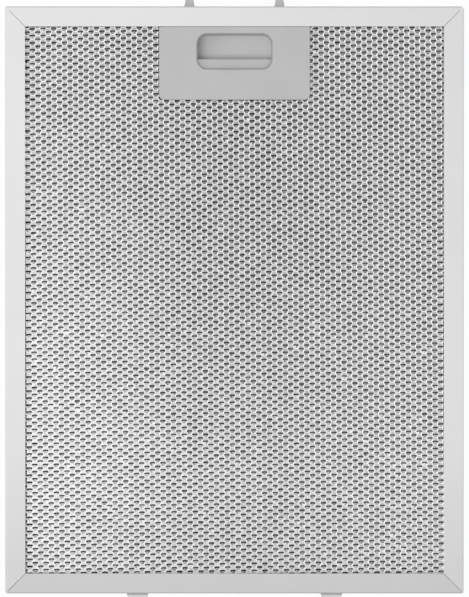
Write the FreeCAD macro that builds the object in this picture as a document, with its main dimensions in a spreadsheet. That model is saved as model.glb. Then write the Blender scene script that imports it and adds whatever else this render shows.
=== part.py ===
import FreeCAD, Part
import math
import os

import Sketcher

# Grease filter of a cooker hood. The panel lies on its back: X runs across it, Y towards the latch edge,
# Z from the back face to the front. Sizes are in millimetres, angles in degrees.
SIZES = (
    # Folded channel frame
    ("frame_width", "250"),
    ("frame_length", "320"),
    ("frame_depth", "9"),
    ("flange_width", "11"),
    ("strip_gauge", "0.7"),
    ("fold_bend", "0.3"),
    ("corner_bend", "0.4"),
    ("round_bend", "1.5"),
    ("mitre_gap", "0.25"),
    # Expanded outer sheets
    ("mesh_rise", "1.2"),
    ("mesh_skew", "0.78"),
    ("ridge_height", "0.8"),
    ("ridge_wall", "0.15"),
    ("ridge_clear", "0.05"),
    ("slot_pitch", "58"),
    ("slot_length", "42"),
    ("slot_height", "0.9"),
    # Inner layers
    ("inner_long_pitch", "72"),
    ("inner_short_pitch", "72"),
    ("inner_open_width", "34"),
    ("inner_open_height", "28"),
    # Latch
    ("finger_width", "41.6"),
    ("finger_height", "20"),
    ("finger_radius", "5.8"),
    ("finger_top", "3.6"),
    ("finger_bevel", "0.8"),
    ("bevel_depth", "1.5"),
    ("side_margin", "20.3"),
    ("cover_lap", "3"),
    ("cover_corner", "2.9"),
    ("cover_edge", "0.3"),
    ("cover_recess", "0.1"),
    ("cover_thickness", "1.2"),
    ("floor_thickness", "1.2"),
    ("latch_wall", "1.4"),
    ("recess_wall", "0.6"),
    ("lip_reveal", "6"),
    ("lip_round", "0.6"),
    ("bar_height", "8.2"),
    ("guide_rise", "1.4"),
    ("rib_thickness", "1.2"),
    ("rib_height", "3"),
    ("prong_width", "5.7"),
    ("prong_thickness", "3"),
    ("prong_reach", "6"),
    ("prong_taper", "1.1"),
    ("prong_round", "0.9"),
    ("snap_width", "6"),
    ("snap_thickness", "1.2"),
    ("snap_hook", "0.7"),
    ("snap_length", "3.6"),
    ("snap_drop", "9"),
    ("snap_pitch", "18"),
    # Return springs
    ("spring_spacing", "26"),
    ("spring_squeezed", "3.7"),
    ("spring_wire", "0.45"),
    ("spring_turns", "5"),
    ("peg_diameter", "2.2"),
    ("peg_length", "1.2"),
    # Fixed lugs
    ("lug_spacing", "106"),
    ("lug_width", "12"),
    ("lug_taper", "1.4"),
    ("lug_reach", "6"),
    ("lug_gauge", "1.2"),
    ("lug_round", "2"),
    ("lug_foot_width", "22"),
    ("lug_bend", "0.8"),
    # Clearances
    ("pack_play", "0.3"),
    ("seat_play", "0.3"),
    ("slide_play", "0.3"),
    ("spring_play", "0.3"),
    ("lug_play", "0.2"),
)
INNER_LAYERS = 5
# Rows of the mesh that the length of a sheet holds, and ridges that cover it in spite of the skew
ROWS_ALONG = 164.5
RIDGES = 167
# Grid of the slots in an outer sheet
SLOT_COLUMNS = 4
SLOT_ROWS = 11
ROWS_PER_SLOT = 14
INNER_COLUMNS = 3
INNER_ROWS = 4
SPRING_STEPS = 12
WIRE_SIDES = 4

doc = FreeCAD.newDocument("grease_filter")
sheet = doc.addObject("Spreadsheet::Sheet", "Sizes")
for row, (alias, text) in enumerate(SIZES, start=1):
    sheet.set(f"A{row}", alias)
    sheet.set(f"B{row}", text)
    sheet.setAlias(f"B{row}", alias)
doc.recompute()


class Size:
    """A length with its number and the sheet formula that gives it."""

    def __init__(self, value, formula):
        self.value = value
        self.formula = formula

    @staticmethod
    def of(other):
        return other if isinstance(other, Size) else Size(float(other), f"{other}")

    def __add__(self, other):
        other = Size.of(other)
        return Size(self.value + other.value, f"({self.formula} + {other.formula})")

    def __sub__(self, other):
        other = Size.of(other)
        return Size(self.value - other.value, f"({self.formula} - {other.formula})")

    def __mul__(self, other):
        other = Size.of(other)
        return Size(self.value * other.value, f"({self.formula} * {other.formula})")

    def __truediv__(self, other):
        other = Size.of(other)
        return Size(self.value / other.value, f"({self.formula} / {other.formula})")

    def __neg__(self):
        return Size(-self.value, f"(-{self.formula})")


class Sizes:
    """Every cell of the sheet by its alias."""


s = Sizes()
for alias, _ in SIZES:
    setattr(s, alias, Size(float(sheet.get(alias)), f"Sizes.{alias}"))
NOTHING = Size(0.0, "0")


# Places that several pieces share
HALF_WIDTH = s.frame_width / 2
HALF_LENGTH = s.frame_length / 2
MIDDLE = s.frame_depth / 2
PACK_INSET = s.strip_gauge + s.lug_gauge + s.pack_play
PACK_FLOOR = s.strip_gauge
PACK_TOP = s.frame_depth - s.strip_gauge
INNER_RISE = (PACK_TOP - PACK_FLOOR - s.mesh_rise * 2) / INNER_LAYERS
ROW_PITCH = (HALF_LENGTH - PACK_INSET) * 2 / ROWS_ALONG

# The latch is measured from the inner edge of the top flange
LATCH_ORIGIN = HALF_LENGTH - s.flange_width
LATCH_TOP = s.flange_width - s.strip_gauge - s.seat_play
FINGER_HALF = s.finger_width / 2
FINGER_TOP = -s.finger_top
FINGER_BOTTOM = FINGER_TOP - s.finger_height
LIP_TOP = FINGER_BOTTOM + s.lip_reveal
BAR_BOTTOM = LIP_TOP - s.bar_height
SPRING_LENGTH = s.prong_reach + s.spring_squeezed
SPRING_SEAT = BAR_BOTTOM - SPRING_LENGTH
BOX_BOTTOM = SPRING_SEAT - s.latch_wall
COVER_BOTTOM = BOX_BOTTOM - s.cover_lap
COVER_TOP = -s.seat_play
COVER_HALF = FINGER_HALF + s.side_margin
BOX_HALF = COVER_HALF - s.cover_lap
ARM_INNER = FINGER_HALF + s.recess_wall + s.slide_play
ARM_OUTER = ARM_INNER + s.prong_width
ARM_TOP = s.guide_rise - s.slide_play
LATCH_FLOOR = s.strip_gauge + s.floor_thickness
LATCH_CEILING = PACK_TOP - s.cover_thickness
FRONT_FACE = s.frame_depth - s.cover_recess
SNAP_FACE = BOX_HALF - s.latch_wall - s.seat_play
SNAP_TIP = LATCH_CEILING - s.snap_length


def put(item, x, y, z):
    """Ties a sub-part's place to the sheet."""
    for axis, size in zip("xyz", (x, y, z)):
        item.setExpression(f"Placement.Base.{axis}", size.formula)


def new_body(name, x=NOTHING, y=NOTHING, z=NOTHING):
    """A sub-part with its own label and place."""
    body = doc.addObject("PartDesign::Body", name)
    body.Label = name
    put(body, x, y, z)
    return body


def origin(body, role):
    """One of the body's own base planes or axes."""
    return next(item for item in body.Origin.OriginFeatures if item.Role == role)


def sketch_on(body, name, role="XY_Plane", offset=None):
    """An empty sketch on a base plane, or beside it along the plane's normal."""
    sketch = body.newObject("Sketcher::SketchObject", name)
    sketch.AttachmentSupport = [(origin(body, role), "")]
    sketch.MapMode = "FlatFace"
    if offset is not None:
        sketch.setExpression("AttachmentOffset.Base.z", offset.formula)
    return sketch


def bind(sketch, kind, *parts):
    """Adds a dimension whose last part is a size, and ties it to the sheet."""
    size = parts[-1]
    index = sketch.addConstraint(Sketcher.Constraint(kind, *parts[:-1], size.value))
    sketch.setExpression(f"Constraints[{index}]", size.formula)


def hold(sketch, geometry, point, place):
    """Fixes a point by its distances from the sketch axes."""
    for kind, axis, size in zip(("DistanceX", "DistanceY"), (-2, -1), place):
        if size.value == 0:
            sketch.addConstraint(Sketcher.Constraint("PointOnObject", geometry, point, axis))
        elif size.value > 0:
            bind(sketch, kind, -1, 1, geometry, point, size)
        else:
            bind(sketch, kind, geometry, point, -1, 1, -size)


def polygon(sketch, corners):
    """A closed outline of straight lines through the corners."""
    first = sketch.GeometryCount
    points = [FreeCAD.Vector(x.value, y.value, 0) for x, y in corners]
    for start, end in zip(points, points[1:] + points[:1]):
        sketch.addGeometry(Part.LineSegment(start, end))
    for i, corner in enumerate(corners):
        follower = first + (i + 1) % len(corners)
        sketch.addConstraint(Sketcher.Constraint("Coincident", first + i, 2, follower, 1))
        hold(sketch, first + i, 1, corner)


def rectangle(sketch, left, right, bottom, top):
    polygon(sketch, [(left, bottom), (right, bottom), (right, top), (left, top)])


def both_sides(sketch, left, right, bottom, top):
    """A rectangle on the right and its mirror image on the left."""
    rectangle(sketch, left, right, bottom, top)
    rectangle(sketch, -right, -left, bottom, top)


def round_rectangle(sketch, half, bottom, top, radius):
    """A rectangle about the Y axis with four equal rounded corners."""
    vec = FreeCAD.Vector
    x, low, high, r = half.value, bottom.value, top.value, radius.value
    first = sketch.GeometryCount
    for start, end in (
        (vec(-x + r, high, 0), vec(x - r, high, 0)),
        (vec(x, high - r, 0), vec(x, low + r, 0)),
        (vec(x - r, low, 0), vec(-x + r, low, 0)),
        (vec(-x, low + r, 0), vec(-x, high - r, 0)),
    ):
        sketch.addGeometry(Part.LineSegment(start, end))
    side, upper, lower = x - r, high - r, low + r
    centres = (vec(side, upper, 0), vec(side, lower, 0), vec(-side, lower, 0), vec(-side, upper, 0))
    for centre, quarter in zip(centres, (0, 3, 2, 1)):
        ring = Part.Circle(centre, vec(0, 0, 1), r)
        sketch.addGeometry(Part.ArcOfCircle(ring, quarter * math.pi / 2, (quarter + 1) * math.pi / 2))
    for i in range(4):
        arc, follower = first + 4 + i, first + (i + 1) % 4
        sketch.addConstraint(Sketcher.Constraint("Tangent", first + i, 2, arc, 2))
        sketch.addConstraint(Sketcher.Constraint("Tangent", arc, 1, follower, 1))
    for line in (first, first + 2):
        sketch.addConstraint(Sketcher.Constraint("Horizontal", line))
    for line in (first + 1, first + 3):
        sketch.addConstraint(Sketcher.Constraint("Vertical", line))
    for arc in (first + 5, first + 6, first + 7):
        sketch.addConstraint(Sketcher.Constraint("Equal", first + 4, arc))
    bind(sketch, "Radius", first + 4, radius)
    bind(sketch, "DistanceX", -1, 1, first + 1, 1, half)
    bind(sketch, "DistanceX", first + 3, 1, -1, 1, half)
    bind(sketch, "DistanceY", first, 1, -1, 1, -top)
    bind(sketch, "DistanceY", first + 2, 1, -1, 1, -bottom)


def circle(sketch, x, y, diameter):
    index = sketch.addGeometry(Part.Circle(FreeCAD.Vector(x.value, y.value, 0), FreeCAD.Vector(0, 0, 1),
                                           diameter.value / 2))
    hold(sketch, index, 3, (x, y))
    bind(sketch, "Diameter", index, diameter)


def raise_pad(body, sketch, length, reverse=False, both=False):
    """Adds the sketch's outline as material."""
    pad = body.newObject("PartDesign::Pad", sketch.Name + "_pad")
    pad.Profile = sketch
    pad.setExpression("Length", length.formula)
    pad.Reversed = reverse
    pad.Midplane = both
    return pad


def cut_pocket(body, sketch, length=None, reverse=False):
    """Removes the sketch's outline, right through where no length is given."""
    pocket = body.newObject("PartDesign::Pocket", sketch.Name + "_pocket")
    pocket.Profile = sketch
    pocket.Reversed = reverse
    if length is None:
        pocket.Type = "ThroughAll"
    else:
        pocket.setExpression("Length", length.formula)
    return pocket


def edge_names(feature, wanted):
    """Names of the edges whose middle and direction satisfy the test."""
    doc.recompute()
    names = []
    for number, edge in enumerate(feature.Shape.Edges, start=1):
        middle = edge.valueAt((edge.FirstParameter + edge.LastParameter) / 2)
        ends = [vertex.Point for vertex in edge.Vertexes]
        along = (ends[-1] - ends[0]) if len(ends) > 1 else FreeCAD.Vector()
        if wanted(middle, along):
            names.append(f"Edge{number}")
    return names


def round_edges(body, feature, wanted, radius, name):
    fillet = body.newObject("PartDesign::Fillet", name)
    fillet.Base = (feature, edge_names(feature, wanted))
    fillet.setExpression("Radius", radius.formula)
    return fillet


def break_edges(body, feature, wanted, width, name):
    chamfer = body.newObject("PartDesign::Chamfer", name)
    chamfer.Base = (feature, edge_names(feature, wanted))
    chamfer.setExpression("Size", width.formula)
    return chamfer


def near(a, b):
    return abs(a - b) < 1e-4


def upright(along):
    return near(along.x, 0) and near(along.y, 0) and not near(along.z, 0)


def mitre(sketch, side, end, reach):
    """A slit along a corner diagonal, from inside the window to the given distance short of the corner."""
    inner_x = (HALF_WIDTH - s.flange_width) - 1
    inner_y = (HALF_LENGTH - s.flange_width) - 1
    outer_x = HALF_WIDTH - reach
    outer_y = HALF_LENGTH - reach
    half = s.mitre_gap * 0.354
    corners = [(inner_x - half, inner_y + half), (inner_x + half, inner_y - half),
               (outer_x + half, outer_y - half), (outer_x - half, outer_y + half)]
    polygon(sketch, [(x if side > 0 else -x, y if end > 0 else -y) for x, y in corners])


def build_frame():
    """One strip: a U-shaped channel folded round the pack, its ends meeting in the top left corner."""
    body = new_body("frame")
    blank = sketch_on(body, "frame_blank")
    rectangle(blank, -HALF_WIDTH, HALF_WIDTH, -HALF_LENGTH, HALF_LENGTH)
    solid = raise_pad(body, blank, s.frame_depth)

    def top_right(point):
        return point.x > 0 and point.y > 0

    bent = round_edges(body, solid, lambda p, d: upright(d) and not top_right(p),
                       s.corner_bend + s.strip_gauge, "frame_corners")
    bent = round_edges(body, bent, lambda p, d: upright(d) and p.x > HALF_WIDTH.value - 1e-3
                       and p.y > HALF_LENGTH.value - 1e-3,
                       s.round_bend + s.strip_gauge, "frame_round_corner")
    round_edges(body, bent, lambda p, d: near(p.z, 0) or near(p.z, s.frame_depth.value),
                s.fold_bend + s.strip_gauge, "frame_folds")

    channel = sketch_on(body, "frame_channel", offset=s.strip_gauge)
    side, end = HALF_WIDTH - s.strip_gauge, HALF_LENGTH - s.strip_gauge
    rectangle(channel, -side, side, -end, end)
    hollow = cut_pocket(body, channel, s.frame_depth - s.strip_gauge * 2, reverse=True)
    inside = round_edges(body, hollow, lambda p, d: upright(d) and near(abs(p.x), side.value)
                         and near(abs(p.y), end.value) and not top_right(p), s.corner_bend, "channel_corners")
    round_edges(body, inside, lambda p, d: upright(d) and near(p.x, side.value) and near(p.y, end.value),
                s.round_bend, "channel_round_corner")

    window = sketch_on(body, "frame_window")
    side, end = HALF_WIDTH - s.flange_width, HALF_LENGTH - s.flange_width
    rectangle(window, -side, side, -end, end)
    cut_pocket(body, window, reverse=True)

    mitres = sketch_on(body, "frame_mitres")
    mitre(mitres, 1, 1, s.strip_gauge + s.round_bend)
    mitre(mitres, 1, -1, s.strip_gauge + s.corner_bend)
    mitre(mitres, -1, -1, s.strip_gauge + s.corner_bend)
    mitre(mitres, -1, 1, -s.strip_gauge)
    cut_pocket(body, mitres, reverse=True)

    prong_slots = sketch_on(body, "prong_slots", "XZ_Plane")
    rise = s.prong_thickness / 2 + s.slide_play
    both_sides(prong_slots, ARM_INNER - s.slide_play, ARM_OUTER + s.slide_play, MIDDLE - rise, MIDDLE + rise)
    cut_pocket(body, prong_slots)

    lug_slots = sketch_on(body, "lug_slots", "XZ_Plane")
    reach = s.lug_width / 2 + s.lug_play
    rise = s.lug_gauge / 2 + s.lug_play
    both_sides(lug_slots, s.lug_spacing / 2 - reach, s.lug_spacing / 2 + reach, MIDDLE - rise, MIDDLE + rise)
    cut_pocket(body, lug_slots, reverse=True)
    return body


def pack_blank(name, base, rise):
    """A layer of the pack: a sheet notched at the top for the latch."""
    body = new_body(name, z=base)
    blank = sketch_on(body, name + "_blank")
    side, end = HALF_WIDTH - PACK_INSET, HALF_LENGTH - PACK_INSET
    notch = BOX_HALF + s.seat_play
    notch_end = LATCH_ORIGIN + BOX_BOTTOM - s.seat_play
    polygon(blank, [(-side, -end), (side, -end), (side, end), (notch, end), (notch, notch_end),
                    (-notch, notch_end), (-notch, end), (-side, end)])
    raise_pad(body, blank, rise)
    return body


def turn(sketch, axis, angle):
    """Turns a sketch about one of its own axes."""
    sketch.AttachmentOffset = FreeCAD.Placement(FreeCAD.Vector(), FreeCAD.Rotation(axis, angle.value))
    sketch.setExpression("AttachmentOffset.Rotation.Angle", angle.formula)


def row_of(body, feature, sketch, axis, count, pitch, name):
    """Copies a feature along one of its sketch's axes."""
    row = body.newObject("PartDesign::LinearPattern", name)
    row.Originals = [feature]
    row.Direction = (sketch, [axis])
    row.Mode = "Spacing"
    row.setExpression("Offset", pitch.formula)
    row.Occurrences = count
    body.Tip = row
    return row


def grid_of(body, pocket, sketch, columns, column_pitch, rows, row_pitch):
    """Copies an opening over a rectangular grid along its sketch's axes."""
    grid = row_of(body, pocket, sketch, "H_Axis", columns, column_pitch, pocket.Name + "_grid")
    grid.Direction2 = (sketch, ["V_Axis"])
    grid.Mode2 = "Spacing"
    grid.setExpression("Offset2", row_pitch.formula)
    grid.Occurrences2 = rows
    grid.Spacings2 = [-1.0] * (rows - 1)


def stagger(body, opening, columns, column_pitch, rows, row_pitch, start=0, skew=None):
    """Two grids of openings, the second half a pitch along and half a pitch up."""
    for shift, label in ((0, "even"), (1, "odd")):
        across, up = columns - (shift + start) % 2, rows - shift
        x = -(column_pitch * (across - 1)) / 2
        y = -(row_pitch * (up - 1)) / 2
        sketch = sketch_on(body, f"{body.Name}_{label}")
        if skew is not None:
            turn(sketch, FreeCAD.Vector(0, 0, 1), skew)
        polygon(sketch, [(x + dx, y + dy) for dx, dy in opening])
        hole = cut_pocket(body, sketch, reverse=True)
        grid_of(body, hole, sketch, across, column_pitch, up, row_pitch)


def cut_ridges(body, level):
    """Cuts a saw-toothed face: a groove with a steep lip wall and a long slope, once for each row of the mesh.
    The level turns a depth below the face into a height. Grooves meet in a ridge just below the face."""
    reach = (s.ridge_height + s.ridge_clear * 2) / s.ridge_height
    valley = -ROW_PITCH * (RIDGES / 2 - 1) - s.ridge_wall
    groove = sketch_on(body, body.Name + "_groove", "YZ_Plane")
    turn(groove, FreeCAD.Vector(0, 1, 0), s.mesh_skew)
    polygon(groove, [(valley, level(s.ridge_clear + s.ridge_height)),
                     (valley + s.ridge_wall * reach, level(-s.ridge_clear)),
                     (valley - (ROW_PITCH - s.ridge_wall) * reach, level(-s.ridge_clear))])
    through = cut_pocket(body, groove)
    through.Midplane = True
    row_of(body, through, groove, "H_Axis", RIDGES, ROW_PITCH, body.Name + "_ridges")


def build_outer_mesh(name, base, front):
    """Expanded sheet: a ridge for each row of bonds, its lip towards the fixed lugs, set slightly askew, and
    long slots under the lips that stand for the many short openings."""
    body = pack_blank(name, base, s.mesh_rise)
    cut_ridges(body, (lambda depth: s.mesh_rise - depth) if front else (lambda depth: depth))
    half = s.slot_length / 2
    top = ROW_PITCH / 2 - s.ridge_wall * 1.5
    bottom = top - s.slot_height
    slot = [(-half, bottom), (half, bottom), (half, top), (-half, top)]
    stagger(body, slot, SLOT_COLUMNS, s.slot_pitch, SLOT_ROWS, ROW_PITCH * ROWS_PER_SLOT, skew=s.mesh_skew)
    return body


def build_inner_mesh(number):
    """One of the inner foil layers, with four-sided openings that lie over the strands of the next layer."""
    base = PACK_FLOOR + s.mesh_rise + INNER_RISE * (INNER_LAYERS - number)
    body = pack_blank(f"inner_mesh_{number}", base, INNER_RISE)
    wide, high = s.inner_open_width / 2, s.inner_open_height / 2
    opening = [(-wide, NOTHING), (NOTHING, -high), (wide, NOTHING), (NOTHING, high)]
    stagger(body, opening, INNER_COLUMNS, s.inner_long_pitch, INNER_ROWS, s.inner_short_pitch, number % 2)
    return body


def cover_face(body, name, base):
    """The thin outer plate of a latch half, which laps over the sheet round the notch."""
    face = sketch_on(body, name, offset=base)
    rectangle(face, -COVER_HALF, COVER_HALF, COVER_BOTTOM, COVER_TOP)
    plate = raise_pad(body, face, s.strip_gauge - s.cover_recess)
    return round_edges(body, plate, lambda p, d: upright(d) and near(abs(p.x), COVER_HALF.value)
                       and near(p.y, COVER_BOTTOM.value), s.cover_corner, name + "_corners")


def snap_hook(sketch, side):
    """Profile of a snap leg: it hangs from the cover and hooks outwards into the side wall."""
    back = SNAP_FACE - s.snap_thickness
    hook = SNAP_FACE + s.seat_play + s.snap_hook
    points = [(back, LATCH_CEILING), (back, SNAP_TIP), (SNAP_FACE, SNAP_TIP), (hook, SNAP_TIP + s.snap_hook),
              (hook, SNAP_TIP + s.snap_hook * 1.5), (SNAP_FACE, SNAP_TIP + s.snap_hook * 1.5),
              (SNAP_FACE, LATCH_CEILING)]
    polygon(sketch, [(x if side > 0 else -x, z) for x, z in points])


def finger_outline(body, name, height, inset):
    """Rounded outline of the finger opening at a height, drawn in by the inset."""
    outline = sketch_on(body, name, offset=height)
    round_rectangle(outline, FINGER_HALF - inset, FINGER_BOTTOM + inset, FINGER_TOP - inset,
                    s.finger_radius - inset)
    return outline


def build_handle_plate():
    """Front half of the latch: cover plate, finger opening, walls of the finger recess and snap legs."""
    body = new_body("handle_plate", y=LATCH_ORIGIN)
    lid = sketch_on(body, "plate_lid", offset=LATCH_CEILING)
    rectangle(lid, -BOX_HALF, BOX_HALF, BOX_BOTTOM, LATCH_TOP)
    raise_pad(body, lid, s.cover_thickness)

    ring = finger_outline(body, "recess_ring", LATCH_FLOOR, -s.recess_wall)
    raise_pad(body, ring, LATCH_CEILING - LATCH_FLOOR)
    face = cover_face(body, "plate_face", PACK_TOP)
    break_edges(body, face, lambda p, d: near(p.z, FRONT_FACE.value) and not near(p.y, COVER_TOP.value),
                s.cover_edge, "plate_edges")

    hole = finger_outline(body, "finger_hole", NOTHING, s.finger_bevel)
    cut_pocket(body, hole, reverse=True)
    rim = finger_outline(body, "finger_rim", FRONT_FACE, NOTHING)
    foot = finger_outline(body, "finger_bevel_foot", FRONT_FACE - s.bevel_depth, s.finger_bevel)
    bevel = body.newObject("PartDesign::SubtractiveLoft", "finger_bevel")
    bevel.Profile = rim
    bevel.Sections = [foot]
    bevel.Ruled = True
    room = sketch_on(body, "slide_room", offset=LATCH_CEILING)
    rectangle(room, -ARM_INNER, ARM_INNER, FINGER_BOTTOM - s.recess_wall * 2, LIP_TOP + s.slide_play)
    cut_pocket(body, room, LATCH_CEILING - LATCH_FLOOR)

    legs = sketch_on(body, "snap_legs", "XZ_Plane", s.snap_drop)
    for side in (-1, 1):
        snap_hook(legs, side)
    leg = raise_pad(body, legs, s.snap_width)
    row_of(body, leg, legs, "N_Axis", 2, s.snap_pitch, "snap_leg_pairs")
    return body


def spring_pegs(body, name, face, reverse):
    """A pair of round pegs that locate the springs."""
    pegs = sketch_on(body, name, "XZ_Plane", -face)
    for x in (-s.spring_spacing / 2, s.spring_spacing / 2):
        circle(pegs, x, MIDDLE, s.peg_diameter)
    return raise_pad(body, pegs, s.peg_length, reverse=reverse)


def build_latch_housing():
    """Rear half of the latch: a tray with guide walls, rails for the slide, spring seats and snap windows."""
    body = new_body("latch_housing", y=LATCH_ORIGIN)
    tray = sketch_on(body, "tray_block", offset=s.strip_gauge)
    rectangle(tray, -BOX_HALF, BOX_HALF, BOX_BOTTOM, LATCH_TOP)
    raise_pad(body, tray, LATCH_CEILING - s.strip_gauge)

    wells = sketch_on(body, "tray_wells", offset=LATCH_FLOOR)
    side = BOX_HALF - s.latch_wall
    rectangle(wells, -side, side, SPRING_SEAT, s.guide_rise)
    rectangle(wells, -side, side, s.guide_rise + s.latch_wall, LATCH_TOP - s.latch_wall)
    cut_pocket(body, wells, LATCH_CEILING - LATCH_FLOOR, reverse=True)

    rails = sketch_on(body, "slide_rails", offset=LATCH_FLOOR)
    rail = ARM_OUTER + s.slide_play
    both_sides(rails, rail, rail + s.rib_thickness, SPRING_SEAT, s.guide_rise)
    raise_pad(body, rails, s.rib_height)

    slots = sketch_on(body, "guide_slots", "XZ_Plane")
    rise = s.prong_thickness / 2 + s.slide_play
    both_sides(slots, ARM_INNER - s.slide_play, ARM_OUTER + s.slide_play, MIDDLE - rise, MIDDLE + rise)
    cut_pocket(body, slots)

    windows = sketch_on(body, "snap_windows", "YZ_Plane")
    for drop in (s.snap_drop, s.snap_drop + s.snap_pitch):
        rectangle(windows, -drop - s.snap_width - s.seat_play, -drop + s.seat_play,
                  SNAP_TIP - s.seat_play, SNAP_TIP + s.snap_hook * 1.5 + s.seat_play)
    through = cut_pocket(body, windows)
    through.Midplane = True

    spring_pegs(body, "seat_pegs", SPRING_SEAT, True)
    cover_face(body, "tray_face", s.cover_recess)
    return body


def prong(sketch, side):
    """A stem that runs through the guides and a head that tapers outside the frame."""
    edge, tip = s.flange_width, s.flange_width + s.prong_reach
    points = [(ARM_INNER, ARM_TOP - s.slide_play), (ARM_OUTER, ARM_TOP - s.slide_play), (ARM_OUTER, edge),
              (ARM_OUTER - s.prong_taper, tip), (ARM_INNER + s.prong_taper, tip), (ARM_INNER, edge)]
    polygon(sketch, [(x if side > 0 else -x, y) for x, y in points])


def build_latch_slider():
    """The slide: a cross bar pulled by the finger, two arms beside the recess and a prong on each."""
    body = new_body("latch_slider", y=LATCH_ORIGIN)
    base = LATCH_FLOOR + s.slide_play
    yoke = sketch_on(body, "slider_yoke", offset=base)
    polygon(yoke, [(-ARM_OUTER, BAR_BOTTOM), (ARM_OUTER, BAR_BOTTOM), (ARM_OUTER, ARM_TOP),
                   (ARM_INNER, ARM_TOP), (ARM_INNER, LIP_TOP), (-ARM_INNER, LIP_TOP),
                   (-ARM_INNER, ARM_TOP), (-ARM_OUTER, ARM_TOP)])
    bar = raise_pad(body, yoke, LATCH_CEILING - s.slide_play - base)
    round_edges(body, bar, lambda p, d: near(p.z, LATCH_CEILING.value - s.slide_play.value)
                and near(p.y, LIP_TOP.value), s.lip_round, "slider_lip")

    heads = sketch_on(body, "slider_prongs", offset=MIDDLE)
    for side in (-1, 1):
        prong(heads, side)
    prongs = raise_pad(body, heads, s.prong_thickness, both=True)
    tip = s.flange_width.value + s.prong_reach.value
    round_edges(body, prongs, lambda p, d: upright(d) and near(p.y, tip), s.prong_round, "prong_tips")
    spring_pegs(body, "slider_pegs", BAR_BOTTOM, False)
    return body


def build_spring(name, x):
    """A compression spring between the seat of the tray and the bar of the slide."""
    wire = s.spring_wire.value
    coil = s.peg_diameter.value / 2 + s.spring_play.value + wire / 2
    length = SPRING_LENGTH.value - s.spring_play.value * 2
    count = round(s.spring_turns.value * SPRING_STEPS)
    path = []
    for i in range(count + 1):
        angle = 2 * math.pi * i / SPRING_STEPS
        path.append(FreeCAD.Vector(coil * math.cos(angle), wire / 2 + (length - wire) * i / count,
                                   coil * math.sin(angle)))
    along = path[1] - path[0]
    side = along.cross(FreeCAD.Vector(0, 1, 0)).normalize() * (wire / 2)
    up = side.cross(along).normalize() * (wire / 2)
    ring = []
    for i in range(WIRE_SIDES + 1):
        angle = 2 * math.pi * i / WIRE_SIDES
        ring.append(path[0] + side * math.cos(angle) + up * math.sin(angle))
    spine, section = Part.Wire(Part.makePolygon(path)), Part.Wire(Part.makePolygon(ring))
    spring = doc.addObject("Part::Feature", name)
    spring.Label = name
    spring.Shape = spine.makePipeShell([section], True, False, 1)
    put(spring, x, LATCH_ORIGIN + SPRING_SEAT + s.spring_play, MIDDLE)
    return spring


def build_lug(name, x):
    """A bent tab: its foot stands in the channel behind the web, its tongue goes out through a slot."""
    body = new_body(name, x=x, y=-(HALF_LENGTH - s.strip_gauge), z=MIDDLE)
    foot = sketch_on(body, name + "_foot", "XZ_Plane")
    wide, low = s.lug_foot_width / 2, -s.lug_gauge / 2
    rectangle(foot, -wide, wide, low, MIDDLE - s.strip_gauge - s.lug_play)
    leg = raise_pad(body, foot, s.lug_gauge, reverse=True)
    round_edges(body, leg, lambda p, d: near(p.y, s.lug_gauge.value) and near(p.z, low.value),
                s.lug_bend, name + "_bend")

    tongue = sketch_on(body, name + "_tongue")
    wide, edge = s.lug_width / 2, -s.strip_gauge
    tip = edge - s.lug_reach
    polygon(tongue, [(-wide, NOTHING), (-wide, edge), (-wide + s.lug_taper, tip), (wide - s.lug_taper, tip),
                     (wide, edge), (wide, NOTHING)])
    blade = raise_pad(body, tongue, s.lug_gauge, both=True)
    round_edges(body, blade, lambda p, d: upright(d) and near(p.y, tip.value), s.lug_round, name + "_tip")
    return body


def build_parts():
    parts = [build_frame()]
    parts.append(build_outer_mesh("front_mesh", PACK_TOP - s.mesh_rise, True))
    parts.extend(build_inner_mesh(number) for number in range(1, INNER_LAYERS + 1))
    parts.append(build_outer_mesh("rear_mesh", PACK_FLOOR, False))
    parts.extend((build_handle_plate(), build_latch_housing(), build_latch_slider()))
    parts.append(build_spring("spring_left", -s.spring_spacing / 2))
    parts.append(build_spring("spring_right", s.spring_spacing / 2))
    parts.append(build_lug("lug_left", -s.lug_spacing / 2))
    parts.append(build_lug("lug_right", s.lug_spacing / 2))
    return parts


def write_parts(parts):
    """Checks every object and writes one file for each sub-part."""
    doc.recompute()
    for item in doc.Objects:
        if "Invalid" in item.State or "Error" in item.State:
            raise RuntimeError(f"{item.Name} did not build: {item.State}")
    os.makedirs("parts", exist_ok=True)
    for part in parts:
        if part.Shape.isNull() or not part.Shape.isValid() or len(part.Shape.Solids) != 1:
            raise RuntimeError(f"{part.Label} is not one sound solid")
        part.Shape.exportStep(f"parts/{part.Label}.step")


write_parts(build_parts())
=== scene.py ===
import math

import bpy
import numpy as np
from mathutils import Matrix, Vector


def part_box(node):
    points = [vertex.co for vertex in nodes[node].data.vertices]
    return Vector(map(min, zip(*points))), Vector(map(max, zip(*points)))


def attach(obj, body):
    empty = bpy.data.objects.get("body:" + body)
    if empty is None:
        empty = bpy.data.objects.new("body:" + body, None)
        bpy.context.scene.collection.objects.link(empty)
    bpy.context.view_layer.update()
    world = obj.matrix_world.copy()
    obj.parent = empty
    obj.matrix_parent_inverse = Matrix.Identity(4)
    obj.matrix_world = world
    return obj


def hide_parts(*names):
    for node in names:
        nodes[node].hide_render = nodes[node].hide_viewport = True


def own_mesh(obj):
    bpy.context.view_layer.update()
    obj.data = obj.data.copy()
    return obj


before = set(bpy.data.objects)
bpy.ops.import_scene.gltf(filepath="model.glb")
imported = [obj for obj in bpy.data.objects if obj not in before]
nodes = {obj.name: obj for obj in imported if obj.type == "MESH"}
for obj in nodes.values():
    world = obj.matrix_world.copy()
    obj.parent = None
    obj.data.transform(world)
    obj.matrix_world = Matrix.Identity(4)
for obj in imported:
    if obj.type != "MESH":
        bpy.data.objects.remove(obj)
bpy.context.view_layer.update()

MM = 0.001


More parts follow.
